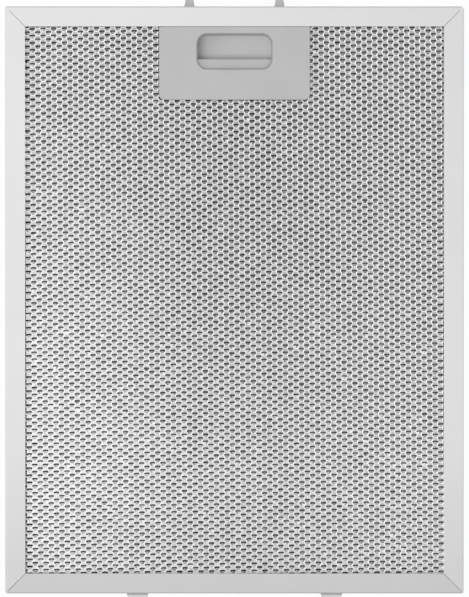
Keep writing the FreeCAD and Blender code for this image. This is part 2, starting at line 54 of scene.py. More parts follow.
def box_of(node):
    """Lowest and highest corner of a solid as two arrays."""
    low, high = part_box(node)
    return np.array(low), np.array(high)


# Outline of the pack of sheets and foil, and half width and lower edge of its notch for the latch
PACK_LOW, PACK_HIGH = box_of("front_mesh")
NOTCH_SIDE = 38.4 * MM
NOTCH_FOOT = 111.8 * MM
# Corner of the folded frame, and the value of |x| - |y| at its mitres in millimetres
FRAME_HIGH = box_of("frame")[1]
MITRE = (FRAME_HIGH[0] - FRAME_HIGH[1]) / MM

# Making of meshes: points closer than this become one, faces of less than half this many square metres
# are dropped, and smooth faces that meet at more than this angle keep a crease
MERGE_WITHIN = 0.0002 * MM
LEAST_FACE = 1e-12
CREASE_ANGLE = math.radians(38)

# Expanded sheet: pitch across and along the panel, rise of its rows to the right, lean of its columns
# to the left, and shift of the lattice from the middle of the panel
LONG_PITCH = 5.822 * MM
SHORT_PITCH = 3.830 * MM
ROW_RISE = math.tan(math.radians(0.78))
COLUMN_LEAN = math.tan(math.radians(0.3))
PHASE_ACROSS = -1.57 * MM
PHASE_ALONG = -0.64 * MM
# Half pitches counted from the middle, enough to cover the pack, and how far outside the pack's outline
# the centre of a cut bond may lie
HALF_COLUMNS = 46
HALF_ROWS = 92
BOND_REACH = 1.2 * MM
# Half widths of one opening under the lip of the bond above it, at its widest, and over the bond below it
OPENING_TOP = 1.48 * MM
OPENING_WAIST = 1.55 * MM
OPENING_FOOT = 0.78 * MM
OPENING_HEIGHT = SHORT_PITCH / 2
# Share of a bond's height taken by the flat rim along its upper edge, level of the rim's inner edge as a
# share of the lip's rise, and the bow of the bond's upper edge and of its lip
RIM_SHARE = 0.24
RIM_LEVEL = -0.95
FOOT_BOW = 0.16 * MM
LIP_BOW = 0.16 * MM
# Rise of the lip over the middle of the sheet, its depth below the face of the solid sheet, and the gauge
LIP_RISE = 0.20 * MM
LIP_INSET = 0.05 * MM
SHEET_GAUGE = 0.36 * MM
# Slot under the lip and the tongue below it: height and sag of the slot, half widths of the tongue at its
# arch and at its foot, its lap behind the next bond, its step down there, and its depth at the arch
SLOT_HEIGHT = 0.84 * MM
SLOT_SAG = 0.10 * MM
TONGUE_TOP = 1.60 * MM
TONGUE_FOOT = 1.05 * MM
TONGUE_LAP = 0.12 * MM
TONGUE_STEP = 0.22 * MM
TONGUE_DEPTH = 0.55 * MM
# Unevenness: slow and quick sway in the plane of the sheet, buckling out of it, and tearing of the tongues
SLOW_SWAY = 0.05 * MM
QUICK_SWAY = 0.03 * MM
BUCKLE = 0.035 * MM
TEAR_SPREAD = 0.09 * MM
TEAR_SEED = 23
# Painted light and shade of each kind of face, which sets its grey: bond, its brighter rim, strand as a
# painted highlight, cut edge and tongue as painted shade
BOND_LIGHT = 0.58
RIM_LIGHT = 0.80
STRAND_LIGHT = 1.0
EDGE_LIGHT = 0.3
TONGUE_LIGHT = 0.05
# Random spread of the tone from face to face, the share of tongues' faces that get a painted glint, and the
# painted light a glint adds
BOND_SPREAD = 0.06
TONGUE_SPREAD = 0.12
GLINT_SHARE = 0.06
GLINT_LIGHT = 0.5
# Painted sheen towards the lower left, standing in for the light reflected there, and a droop of the
# tongues' ends that grows the same
# way: places along the panel between which both fade from full to nothing, their slant, how much brighter
# tongues and bonds are painted there, and the droop of a tongue's ends
LOWER_LEFT_BETWEEN = (-120 * MM, 40 * MM)
LOWER_LEFT_SLANT = 0.4
LOWER_LEFT_TONGUE_SHEEN = 0.22
LOWER_LEFT_BOND_SHEEN = 0.14
TONGUE_DROOP = 0.20 * MM

# Crimped foil between the two sheets: size of a face, pitch of the pleats, length and swing of the zigzag
# in their lines, length and amount of its drift, and shares of the layer's thickness in pleats and dents
FOIL_STEP = 1.25 * MM
FOIL_PLEAT = 5.2 * MM
FOIL_WANDER = 17.0 * MM
FOIL_SWING = 0.22
FOIL_DRIFT_LENGTH = 9 * MM
FOIL_DRIFT = 0.13
FOIL_PLEAT_SHARE = 0.28
FOIL_DENT_SHARE = 0.2
FOIL_SEED = 41

# Latch springs: turns, thickness of the wire, steps in a turn and sides of the wire
SPRING_TURNS = 6.0
SPRING_WIRE = 0.45 * MM
SPRING_STEPS = 28
SPRING_SIDES = 10

# Scales of the patterns in the finishes, per metre
END_RAIL_LINES = (22, 1900, 1900)
SIDE_RAIL_LINES = (1900, 22, 1900)
SHEET_LINES = (260, 420, 260)
FOIL_CREASES = (340, 340, 340)
DRAWN_LINES = (1500, 60, 1500)
LATCH_GRAIN = 2600.0
SLIDER_GRAIN = 2200.0
# Changes of tone, each as the two places in millimetres between which it grows, and its full amount. The
# lower rail's has an amount alone, and the recess floor's is the mask that keeps the next two to the floor
# Frame: painted shade on the bend and edges of the front fold, towards the lower end and on the lower rail;
# a painted light band along each mitre lightens the gap's shadow line
FOLD_BEND_SHADE = ((8.98, 8.6, -1.3), (8.0, 7.6, 1.3))
FRAME_LOW_END_SHADE = ((-80.0, -155.0, -0.9),)
MITRE_LIGHT_BANDS = ((MITRE - 0.45, MITRE - 0.2, 1.2), (MITRE + 0.2, MITRE + 0.45, -1.2))
LOWER_RAIL_SHADE = -0.6
# Painted shade on the sheet: darker by the left rail, where the frame's shadow falls, and down the middle;
# darker towards the lower end and by the lower rail
SHEET_SHADE_ACROSS = ((-112.4, -113.8, -0.5), (-90.0, -20.0, -0.12), (20.0, 90.0, 0.12))
SHEET_SHADE_ALONG = ((-100.0, -146.0, -0.13), (-146.5, -149.0, -0.25))
# Painted shade on the foil: darker by the left rail and down the middle, towards the lower end and by the
# lower rail
FOIL_SHADE_ACROSS = ((-107.0, -112.5, -0.4), (-90.0, -20.0, -0.2), (20.0, 90.0, 0.2))
FOIL_SHADE_ALONG = ((60.0, -120.0, -0.14), (-140.0, -147.0, -0.2))
# Painted shade on the rim of the finger opening and the plate's sides, and painted light on the recess
# floor against its shade
PLATE_RIM_SHADE_AND_FLOOR_LIGHT = ((8.88, 8.6, -1.9), (4.0, 3.0, 2.95))
RECESS_FLOOR = (4.0, 3.0, 1.0)
# Painted shadow by the recess's left wall and just above the lip's edge, and painted light by its right
# wall and near its top
FLOOR_SHADING_ACROSS = ((-14.5, -20.5, -2.6), (10.0, 20.5, 1.5))
FLOOR_SHADING_ALONG = ((134.7, 132.2, -1.9), (140.0, 143.8, 0.9))
# Painted shadow of the frame's edge across the lug's root
LUG_ROOT_SHADOW = ((-161.5, -160.5, -1.75),)
# Greys of a finish: the darkest and the lightest, and the tones at which they are reached. The sheet's are
# set by the grey of a tongue with no painted light and of a strand with full painted light
TONGUE_SHADE = 0.36
STRAND_SHADE = 0.88
SHEET_GREYS = (0.0, STRAND_SHADE, TONGUE_SHADE / (TONGUE_SHADE - STRAND_SHADE), 1.0)
FRAME_GREYS = (0.455, 0.86, -3.05, 1.45)
# The foil's greys are dark as painted shade for the deep shadow between the sheets
FOIL_SHADOW_GREYS = (0.03, 0.22, -0.63, 0.12)
PLASTIC_GREYS = (0.3216, 0.6816, -1.7, 3.3)
SPRING_GREYS = (0.16, 0.68, -1.75, 0.25)
LUG_GREYS = (0.30, 0.70, -1.75, 0.25)
# Roughness of a finish: the least and the greatest, and for the plastic the tones at which they are reached
FRAME_ROUGH = (0.42, 0.52)
SHEET_ROUGH = (0.26, 0.36)
FOIL_ROUGH = (0.40, 0.60)
PLASTIC_ROUGH = (0.52, 0.60, 0.3, 0.7)
SPRING_ROUGH = (0.25, 0.38)
LUG_ROUGH = (0.40, 0.52)
GRAIN_HEIGHT = 0.04 * MM

# Table: half its width, its gap below the panel, its white, and the share of it that shows as pure white
TABLE_HALF = 6.0
TABLE_GAP = 0.05 * MM
TABLE_WHITE = 0.95
TABLE_GLOW = 0.92
# Brightness of the surround overhead, and what each direction adds to it: right, latch end and up, then
# left, far end and down
SURROUND_LEVEL = 0.49
SURROUND_PLUS = (0.62, 0.12, 0.0)
SURROUND_MINUS = (0.95, 0.25, 0.0)
# Soft boxes: place, target, width, height and brightness, and the watts per square metre at brightness 1
OVERHEAD_BOX = ((-0.06, -0.10, 1.5), (-0.06, -0.10, 0.0), 1.3, 1.1, 0.40)
KEY_BOX = ((-0.38, 0.70, 1.45), (-0.05, 0.0, 0.0), 0.36, 0.75, 0.90)
BOX_WATTS = 4
# Camera: picture elements in the height of the view and the size of one on the panel, lens and sensor in
# millimetres, how far its aim lies from the middle towards the latch, and its lean
VIEW_ELEMENTS = 597
ELEMENT_SIZE = 0.5446 * MM
LENS = 135
SENSOR = 36
AIM_ALONG = 0.93 * MM
CAMERA_LEAN = math.radians(0.43)


def make_piece(name, points, quads, smooth=True, face_light_and_tone=None):
    """Puts an array of points and an array of four-cornered faces into a mesh object at the origin. Points
    that fall together become one, faces that shrink to a line are dropped, and each face may keep a value
    of painted light and shade with random tone."""
    keys = np.round(points / MERGE_WITHIN).astype(np.int64)
    _, first, place = np.unique(keys, axis=0, return_index=True, return_inverse=True)
    points = points[first]
    quads = place.ravel()[quads]
    across = points[quads[:, 2]] - points[quads[:, 0]]
    along = points[quads[:, 3]] - points[quads[:, 1]]
    kept = np.linalg.norm(np.cross(across, along), axis=1) > LEAST_FACE
    quads = quads[kept]
    mesh = bpy.data.meshes.new(name)
    mesh.vertices.add(len(points))
    mesh.vertices.foreach_set("co", points.astype(np.float32).ravel())
    mesh.loops.add(quads.size)
    mesh.loops.foreach_set("vertex_index", quads.astype(np.int32).ravel())
    mesh.polygons.add(len(quads))
    mesh.polygons.foreach_set("loop_start", np.arange(0, quads.size, 4, dtype=np.int32))
    mesh.polygons.foreach_set("use_smooth", np.full(len(quads), smooth))
    if face_light_and_tone is not None:
        face_light = mesh.attributes.new("face_light_and_tone", "FLOAT", "FACE")
        face_light.data.foreach_set("value", face_light_and_tone[kept].astype(np.float32))
    mesh.update(calc_edges=True)
    mesh.validate()
    if smooth:
        mesh.set_sharp_from_angle(angle=CREASE_ANGLE)
    piece = bpy.data.objects.new(name, mesh)
    bpy.context.scene.collection.objects.link(piece)
    return piece


def fit_to_pack(points):
    """Presses points that lie outside the pack's rectangle, or inside its latch notch, onto the nearest
    edge."""
    x = np.clip(points[..., 0], PACK_LOW[0], PACK_HIGH[0])
    y = np.clip(points[..., 1], PACK_LOW[1], PACK_HIGH[1])
    to_side = NOTCH_SIDE - np.abs(x)
    to_foot = y - NOTCH_FOOT
    inside = (to_side > 0) & (to_foot > 0)
    x = np.where(inside & (to_side < to_foot), np.copysign(NOTCH_SIDE, x), x)
    y = np.where(inside & (to_side >= to_foot), NOTCH_FOOT, y)
    return np.stack([x, y, points[..., 2]], axis=-1)


def bond_centres():
    """Centres of all bonds: a staggered lattice sheared so that its rows rise to the right, kept where a
    bond reaches into the pack."""
    column = np.arange(-HALF_COLUMNS, HALF_COLUMNS + 1)
    row = np.arange(-HALF_ROWS, HALF_ROWS + 1)
    i, j = np.meshgrid(column, row, indexing="ij")
    staggered = (i + j) % 2 == 0
    x = i[staggered] * LONG_PITCH / 2 + PHASE_ACROSS
    y = j[staggered] * SHORT_PITCH / 2 + PHASE_ALONG
    x, y = x - y * COLUMN_LEAN, y + x * ROW_RISE
    inside = (np.abs(x) < PACK_HIGH[0] + BOND_REACH) & (np.abs(y) < PACK_HIGH[1] + BOND_REACH)
    in_notch = (np.abs(x) < NOTCH_SIDE - BOND_REACH) & (y > NOTCH_FOOT + BOND_REACH)
    chosen = inside & ~in_notch
    return np.stack([x[chosen], y[chosen]], axis=-1)


def stamping_waver(x, y):
    """Small unevenness of the stamped sheet: sums and products of sines of the place in millimetres, so
    that touching bonds share it."""
    a, b = x / MM, y / MM
    dx = SLOW_SWAY * np.sin(0.11 * a + 0.23 * b) + QUICK_SWAY * np.sin(1.9 * b - 0.7 * a)
    dy = SLOW_SWAY * np.sin(0.17 * a - 0.09 * b + 1.0) + QUICK_SWAY * np.sin(2.3 * a + 0.8 * b)
    dz = BUCKLE * np.sin(3.7 * a + 1.3 * b) * np.sin(2.9 * b - 1.1 * a + 0.5)
    return np.stack([dx, dy, dz], axis=-1)


def two_faces(first, second):
    """The two faces between two rows of three points, given by the numbers of the rows' first points."""
    half = np.arange(2)
    return np.stack([first + half, first + half + 1, second + half + 1, second + half], axis=1)


def bond_cell():
    """Points, faces and painted light of each face of one bond and the opening under it. The bond is a grid
    of three rows by
    five columns: a flat rim along its low upper edge, a plate that leans up to the lip, and on each side a
    strand that twists the other way, from high to low, into the next bond, creased alike left and right.
    Both edges of the bond are bowed towards its middle. The lip has a wall, and a tongue hangs from the
    lower edge of the opening by a step, leans like the plate and ends in an arch at the slot."""
    down = np.array([0.0, RIM_SHARE, 1.0])
    outer = LONG_PITCH / 2 - np.array([OPENING_TOP, OPENING_WAIST, OPENING_FOOT])
    inner = OPENING_FOOT + (OPENING_TOP - OPENING_FOOT) * down
    rise = LIP_RISE * np.array([-1.0, RIM_LEVEL, 1.0])
    x = np.stack([-outer, -inner, np.zeros(3), inner, outer], axis=1)
    columns = x.shape[1]
    y = np.repeat(OPENING_HEIGHT * (0.5 - down)[:, None], columns, axis=1)
    y[:, columns // 2] += np.array([-FOOT_BOW, -FOOT_BOW, LIP_BOW])
    z = np.stack([-rise, rise, rise, rise, -rise], axis=1)
    bond = np.stack([x, y, z], axis=-1).reshape(-1, 3)
    row, column = (index.ravel() for index in np.meshgrid(np.arange(2), np.arange(4), indexing="ij"))
    corner = columns * row + column
    bond_faces = np.stack([corner + columns, corner + columns + 1, corner + 1, corner], axis=1)
    left = column < 2
    bond_faces[left] = np.roll(bond_faces[left], 1, axis=1)
    # Painted light of the bond's faces: strands brightest as painted highlights, then the rim, then the
    # bond
    middle = np.where(row == 0, RIM_LIGHT, BOND_LIGHT)
    bond_light = np.where((column == 0) | (column == 3), STRAND_LIGHT, middle)

    across = np.array([-1.0, 0.0, 1.0])
    bow = 1 - np.abs(across)
    level = np.ones(3)
    lip_y = -OPENING_HEIGHT / 2 + LIP_BOW * bow
    foot_y = -OPENING_HEIGHT * 1.5 - FOOT_BOW * bow
    arch_y = lip_y - SLOT_HEIGHT - SLOT_SAG * np.abs(across)
    lip = np.stack([across * OPENING_TOP, lip_y, level * LIP_RISE], axis=1)
    under_lip = lip - [0, 0, SHEET_GAUGE]
    edge = np.stack([across * OPENING_FOOT, foot_y, level * -LIP_RISE], axis=1)
    foot = np.stack([across * TONGUE_FOOT, foot_y - TONGUE_LAP, level * (-LIP_RISE - TONGUE_STEP)], axis=1)
    arch = np.stack([across * TONGUE_TOP, arch_y, level * (-LIP_RISE - TONGUE_DEPTH)], axis=1)
    lip_at, under_at, edge_at, foot_at, arch_at = len(bond) + 3 * np.arange(5)
    lip_wall = two_faces(under_at, lip_at)
    foot_wall = two_faces(foot_at, edge_at)
    tongue = two_faces(foot_at, arch_at)
    # Painted shade on the walls and the tongue of the opening
    opening_light = np.repeat([EDGE_LIGHT, EDGE_LIGHT, TONGUE_LIGHT], 2)

    points = np.concatenate([bond, lip, under_lip, edge, foot, arch])
    faces = np.concatenate([bond_faces, lip_wall, foot_wall, tongue])
    return points, faces, np.concatenate([bond_light, opening_light])


def expanded_sheet(name, node, front):
    """Expanded metal: the bond cell set at every place of the staggered lattice, sheared with the rows,
    made slightly uneven, with tongues torn a little higher or lower, and pressed to the outline of the
    pack. The rear sheet is the same one mirrored front to back."""
    cell, faces, face_light_and_tone = bond_cell()
    centres = bond_centres()
    count = len(centres)
    points = np.repeat(cell[None], count, axis=0)
    points[..., :2] += centres[:, None, :]
    points[..., 1] += cell[:, 0] * ROW_RISE
    points += stamping_waver(points[..., 0], points[..., 1])
    arch, arch_ends = [-3, -2, -1], [-3, -1]
    tear = np.random.RandomState(TEAR_SEED)
    points[:, arch, 1] += tear.normal(0, TEAR_SPREAD, (count, 1))
    points[:, arch, 2] += np.abs(tear.normal(0, TEAR_SPREAD, (count, 3)))
    tongues = face_light_and_tone == TONGUE_LIGHT
    bonds = face_light_and_tone == BOND_LIGHT
    # Painted glints: a few tongue faces get extra painted light
    glints = tongues & (tear.random_sample((count, len(faces))) < GLINT_SHARE)
    spread = tear.normal(0, 1, glints.shape) * np.where(tongues, TONGUE_SPREAD, BOND_SPREAD)
    # Share of painted sheen and of tongue droop, growing towards the lower left
    towards_lower_left = np.interp(centres[:, 1:] + LOWER_LEFT_SLANT * centres[:, :1], LOWER_LEFT_BETWEEN, (1.0, 0.0))
    points[:, arch_ends, 1] -= TONGUE_DROOP * towards_lower_left
    face_light_and_tone = face_light_and_tone + spread + np.where(glints, GLINT_LIGHT, 0.0)
    face_light_and_tone += towards_lower_left * (tongues * LOWER_LEFT_TONGUE_SHEEN + bonds * LOWER_LEFT_BOND_SHEEN)
    points = fit_to_pack(points)
    low, high = box_of(node)
    depth = LIP_RISE + LIP_INSET
    if front:
        points[..., 2] += high[2] - depth
    else:
        points[..., 2] = low[2] + depth - points[..., 2]
        faces = faces[:, ::-1]
    start = np.arange(count) * len(cell)
    quads = (start[:, None, None] + faces).reshape(-1, 4)
    piece = make_piece(name, points.reshape(-1, 3), quads, False, face_light_and_tone.ravel())
    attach(piece, "panel")
    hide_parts(node)
    return piece


def triangle_wave(turns):
    """Zigzag between -1 and 1, once for every whole turn."""
    return 2 * np.abs(2 * (turns - np.floor(turns + 0.5))) - 1


def crimped_foil(name, node, front):
    """Crimped foil: a zigzag of pleats whose lines run in a zigzag that drifts from side to side, with
    small dents, over a square grid."""
    low, high = box_of(node)
    across = np.arange(math.ceil((high[0] - low[0]) / FOIL_STEP) + 1)
    along = np.arange(math.ceil((high[1] - low[1]) / FOIL_STEP) + 1)
    x, y = np.meshgrid(low[0] + across * FOIL_STEP, low[1] + along * FOIL_STEP, indexing="ij")
    drift = FOIL_DRIFT * np.sin(x / FOIL_DRIFT_LENGTH)
    wander = FOIL_SWING * triangle_wave(y / FOIL_WANDER + drift)
    pleat = triangle_wave(x / FOIL_PLEAT + wander)
    dents = np.random.RandomState(FOIL_SEED).uniform(-1, 1, x.shape)
    height = FOIL_PLEAT_SHARE * pleat + FOIL_DENT_SHARE * dents
    z = (low[2] + high[2]) / 2 + (high[2] - low[2]) * height
    points = fit_to_pack(np.stack([x, y, z], axis=-1))
    rows, columns = x.shape
    i, j = np.meshgrid(np.arange(rows - 1), np.arange(columns - 1), indexing="ij")
    middle_x = x[:-1, :-1] + FOIL_STEP / 2
    middle_y = y[:-1, :-1] + FOIL_STEP / 2
    outside = (np.abs(middle_x) > NOTCH_SIDE - FOIL_STEP) | (middle_y < NOTCH_FOOT + FOIL_STEP)
    corner = (i * columns + j)[outside]
    quads = np.stack([corner, corner + columns, corner + columns + 1, corner + 1], axis=1)
    if not front:
        quads = quads[:, ::-1]
    piece = make_piece(name, points.reshape(-1, 3), quads, smooth=False)
    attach(piece, "panel")
    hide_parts(node)
    return piece


def latch_spring(name, node):
    """Compression spring: a round wire carried along a helix whose first and last turn lie close, closed at
    both ends. The real spring shortens to about a third as the slide is pulled; this piece is built at one
    length and does not shorten."""
    low, high = box_of(node)
    centre = (low + high) / 2
    mean_radius = (high[0] - low[0] - SPRING_WIRE) / 2
    length = high[1] - low[1]
    turn = np.linspace(0, SPRING_TURNS, int(SPRING_TURNS * SPRING_STEPS) + 1)
    active = (length - 3 * SPRING_WIRE) / (SPRING_TURNS - 2)
    rise = SPRING_WIRE * np.minimum(turn, 1) + active * np.clip(turn - 1, 0, SPRING_TURNS - 2)
    rise += SPRING_WIRE * np.maximum(turn - SPRING_TURNS + 1, 0)
    turn = np.concatenate([turn[:1], turn, turn[-1:]])
    rise = np.concatenate([rise[:1], rise, rise[-1:]]) + SPRING_WIRE / 2
    wire = np.full(len(turn), SPRING_WIRE / 2)
    wire[[0, -1]] = 0
    around = np.linspace(0, 2 * math.pi, SPRING_SIDES, endpoint=False)
    angle = 2 * math.pi * turn[:, None]
    reach = mean_radius + wire[:, None] * np.cos(around)
    x = centre[0] + reach * np.cos(angle)
    y = low[1] + rise[:, None] + wire[:, None] * np.sin(around)
    z = centre[2] + reach * np.sin(angle)
    points = np.stack([x, y, z], axis=-1)
    i, j = np.meshgrid(np.arange(len(turn) - 1), np.arange(SPRING_SIDES), indexing="ij")
    a = (i * SPRING_SIDES + j).ravel()
    b = (i * SPRING_SIDES + (j + 1) % SPRING_SIDES).ravel()
    quads = np.stack([a, b, b + SPRING_SIDES, a + SPRING_SIDES], axis=1)
    piece = make_piece(name, points.reshape(-1, 3), quads)
    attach(piece, "panel")
    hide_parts(node)
    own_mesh(piece)
    return piece


def add_node(tree, kind, settings=None, **inputs):
    """Adds a node, sets its options, and fills its inputs, given by name or as _ and a number, with values
    or with other nodes' outputs."""
    node = tree.nodes.new(kind)
    for key, value in (settings or {}).items():
        setattr(node, key, value)
    for key, value in inputs.items():
        socket = node.inputs[int(key[1:])] if key[0] == "_" else node.inputs[key.replace("_", " ")]
        if isinstance(value, bpy.types.NodeSocket):
            tree.links.new(value, socket)
        else:
            socket.default_value = value
    return node


def work_out(tree, operation, *values):
    """Output of a math node that is fed with values or with other nodes' outputs."""
    inputs = {f"_{place}": value for place, value in enumerate(values)}
    return add_node(tree, "ShaderNodeMath", {"operation": operation}, **inputs).outputs[0]


def new_group(name, inputs, outputs):
    """An empty shader group with named number or vector sockets."""
    group = bpy.data.node_groups.new(name, "ShaderNodeTree")
    for label, kind in inputs:
        group.interface.new_socket(label, in_out="INPUT", socket_type=kind)
    for label in outputs:
        group.interface.new_socket(label, in_out="OUTPUT", socket_type="NodeSocketFloat")
    return group, group.nodes.new("NodeGroupInput").outputs, group.nodes.new("NodeGroupOutput").inputs


def rolled_metal_group():
    """Rolled aluminium: fine lines drawn out along the rolling direction and cloudy patches, with their
    sum as a tone and their difference as a gloss."""
    group, given, out = new_group(
        "rolled_metal",
        [("Place", "NodeSocketVector"), ("Lines", "NodeSocketFloat"), ("Clouds", "NodeSocketFloat")],
        ["Tone", "Gloss"],
    )
    at = add_node(group, "ShaderNodeTexCoord").outputs["Object"]
    lines = add_node(
        group, "ShaderNodeTexNoise", Vector=given["Place"], Scale=1.0, Detail=4.0, Roughness=0.6
    )
    clouds = add_node(group, "ShaderNodeTexNoise", Vector=at, Scale=38.0, Detail=3.0)
    mean = 0.5
    line_part = work_out(group, "SUBTRACT", lines.outputs["Fac"], mean)
    line_part = work_out(group, "MULTIPLY", line_part, given["Lines"])
    cloud_part = work_out(group, "SUBTRACT", clouds.outputs["Fac"], mean)
    cloud_part = work_out(group, "MULTIPLY", cloud_part, given["Clouds"])
    group.links.new(work_out(group, "ADD", line_part, cloud_part), out["Tone"])
    group.links.new(work_out(group, "SUBTRACT", line_part, cloud_part), out["Gloss"])
    return group


def moulded_grain_group():
    """Fine matt grain of a moulding tool: small cells broken up by noise, as a height, and a faint cloudy
    tone."""
    group, given, out = new_group("moulded_grain", [("Grain", "NodeSocketFloat")], ["Height", "Tone"])
    at = add_node(group, "ShaderNodeTexCoord").outputs["Object"]
    cells = add_node(group, "ShaderNodeTexVoronoi", Vector=at, Scale=given["Grain"])
    speck = add_node(group, "ShaderNodeTexNoise", Vector=at, Scale=given["Grain"], Detail=2.0)
    flow = add_node(group, "ShaderNodeTexNoise", Vector=at, Scale=55.0, Detail=3.0)
    height = work_out(group, "ADD", cells.outputs["Distance"], speck.outputs["Fac"])
    group.links.new(height, out["Height"])
    group.links.new(flow.outputs["Fac"], out["Tone"])
    return group


ROLLED_METAL = rolled_metal_group()
MOULDED_GRAIN = moulded_grain_group()


class Finish:
    """One material: its node tree, a main shader, and short ways to add nodes and to set grey and
    roughness."""

    def __init__(self, name, **shader_values):
        self.material = bpy.data.materials.new(name)
        self.material.use_nodes = True
        self.tree = self.material.node_tree
        self.shader = self.tree.nodes["Principled BSDF"]
        for socket, value in shader_values.items():
            self.shader.inputs[socket].default_value = value
        self.at = self.add("ShaderNodeTexCoord").outputs["Object"]

    def add(self, kind, settings=None, **inputs):
        return add_node(self.tree, kind, settings, **inputs)

    def use(self, group, **inputs):
        """Outputs of a shared group placed in this material."""
        return self.add("ShaderNodeGroup", {"node_tree": group}, **inputs).outputs

    def scaled(self, scale):
        """Object coordinates with each axis at its own scale."""
        return self.add("ShaderNodeMapping", Vector=self.at, Scale=scale).outputs[0]

    def places(self):
        """Object coordinates as three numbers."""
        return self.add("ShaderNodeSeparateXYZ", Vector=self.at).outputs

    def join(self, output, target):
        self.tree.links.new(output, self.shader.inputs[target])

    def total(self, *values):
        """Sum of several values."""
        total = values[0]
        for value in values[1:]:
            total = work_out(self.tree, "ADD", total, value)
        return total

    def change(self, place, *changes):
        """Sum of changes, each of which grows from nothing to its full amount between two places."""
        total = 0.0
        for start, end, amount in changes:
            ends = {"From_Min": start * MM, "From_Max": end * MM, "To_Max": amount}
            part = self.add("ShaderNodeMapRange", Value=place, **ends)
            total = self.total(part.outputs[0], total)
        return total

    def shade(self, tone, dark, light, start, end):
        """Makes the colour run from a dark to a light grey as the tone goes from start to end."""
        spread = self.add("ShaderNodeMapRange", Value=tone, From_Min=start, From_Max=end).outputs[0]
        greys = {"_6": (dark, dark, dark, 1), "_7": (light, light, light, 1)}
        mixed = self.add("ShaderNodeMix", {"data_type": "RGBA"}, _0=spread, **greys)
        self.join(mixed.outputs[2], "Base Color")

    def roughen(self, tone, least, greatest, start=-0.25, end=0.25):
        """Makes the roughness run from its least to its greatest as the tone goes from start to end."""
        ends = {"From_Min": start, "From_Max": end, "To_Min": least, "To_Max": greatest}
        self.join(self.add("ShaderNodeMapRange", Value=tone, **ends).outputs[0], "Roughness")


def frame_finish():
    """Satin strip: rolling lines run along each rail and change direction at the mitres, where a painted
    light band lightens the gap's shadow line, and painted shade darkens the lower rail, the lower end and
    the bend of the front fold."""
    finish = Finish("frame_aluminium", Metallic=1.0)
    x, y, z = finish.places()
    to_side = work_out(finish.tree, "ABSOLUTE", x)
    to_end = work_out(finish.tree, "ABSOLUTE", y)
    past_mitre = work_out(finish.tree, "SUBTRACT", to_side, to_end)
    on_side = work_out(finish.tree, "GREATER_THAN", past_mitre, MITRE * MM)
    lines = {"_4": finish.scaled(END_RAIL_LINES), "_5": finish.scaled(SIDE_RAIL_LINES)}
    place = finish.add("ShaderNodeMix", {"data_type": "VECTOR"}, _0=on_side, **lines).outputs[1]
    rolled = finish.use(ROLLED_METAL, Place=place, Lines=0.5, Clouds=0.35)
    # Painted shade on the lower rail, the fold's bend and the lower end, and painted light along the mitres
    on_lower = work_out(finish.tree, "LESS_THAN", finish.total(to_side, y), MITRE * MM)
    lower_rail = work_out(finish.tree, "MULTIPLY", on_lower, LOWER_RAIL_SHADE)
    bend = finish.change(z, *FOLD_BEND_SHADE)
    low_end = finish.change(y, *FRAME_LOW_END_SHADE)
    mitre_light = finish.change(past_mitre, *MITRE_LIGHT_BANDS)
    finish.shade(finish.total(rolled["Tone"], lower_rail, bend, low_end, mitre_light), *FRAME_GREYS)
    finish.roughen(rolled["Gloss"], *FRAME_ROUGH)
    return finish.material


def mesh_finish():
    """Stamped sheet: each face's painted light and shade, read from its attribute, paints the strands
    bright as highlights, the bonds mid grey and the tongues and cut edges dark as shade in the openings,
    with tone and gloss that change from place to place, and painted shade down the middle, towards the
    lower end and close to the left and lower rail."""
    finish = Finish("mesh_aluminium", Metallic=1.0)
    rolled = finish.use(ROLLED_METAL, Place=finish.scaled(SHEET_LINES), Lines=0.5, Clouds=0.1)
    face_light = finish.add("ShaderNodeAttribute", {"attribute_name": "face_light_and_tone"}).outputs["Fac"]
    x, y, _ = finish.places()
    # Painted shade across and along the sheet
    across = finish.change(x, *SHEET_SHADE_ACROSS)
    along = finish.change(y, *SHEET_SHADE_ALONG)
    finish.shade(finish.total(face_light, rolled["Tone"], across, along), *SHEET_GREYS)
    finish.roughen(rolled["Gloss"], *SHEET_ROUGH)
    return finish.material


def foil_finish():
    """Dull crimped foil in dark greys, as painted shade for the deep shadow between the sheets, with darker
    creases, and more painted shade down the middle, towards the lower end and by the left and lower rail."""
    finish = Finish("foil_aluminium", Metallic=1.0)
    rolled = finish.use(ROLLED_METAL, Place=finish.scaled(FOIL_CREASES), Lines=1.0, Clouds=0.4)
    x, y, _ = finish.places()
    across = finish.change(x, *FOIL_SHADE_ACROSS)
    along = finish.change(y, *FOIL_SHADE_ALONG)
    finish.shade(finish.total(rolled["Tone"], across, along), *FOIL_SHADOW_GREYS)
    finish.roughen(rolled["Gloss"], *FOIL_ROUGH)
    return finish.material


def plastic_finish(name, grain, depths=(), floor_across=(), floor_along=()):
    """Matt grey moulding with a fine grain that breaks the light. Its tone may change from one depth to
    another, as painted shade on the opening's rim and painted light on the recess floor, and across and
    along the floor of the finger recess, as painted shadow by the left wall and above the lip's edge and
    painted light by the right wall and near the top."""
    finish = Finish(name, Metallic=0.0, IOR=1.47)
    grained = finish.use(MOULDED_GRAIN, Grain=grain)
    x, y, z = finish.places()
    # Painted shadow and light on the recess floor, kept to the floor by its depth
    floor_light_and_shade = finish.total(finish.change(x, *floor_across), finish.change(y, *floor_along))
    floor_shading = work_out(finish.tree, "MULTIPLY", finish.change(z, RECESS_FLOOR), floor_light_and_shade)
    finish.shade(finish.total(grained["Tone"], finish.change(z, *depths), floor_shading), *PLASTIC_GREYS)
    finish.roughen(grained["Tone"], *PLASTIC_ROUGH)
    bump = finish.add("ShaderNodeBump", Strength=0.12, Distance=GRAIN_HEIGHT, Height=grained["Height"])
    finish.join(bump.outputs[0], "Normal")
    return finish.material


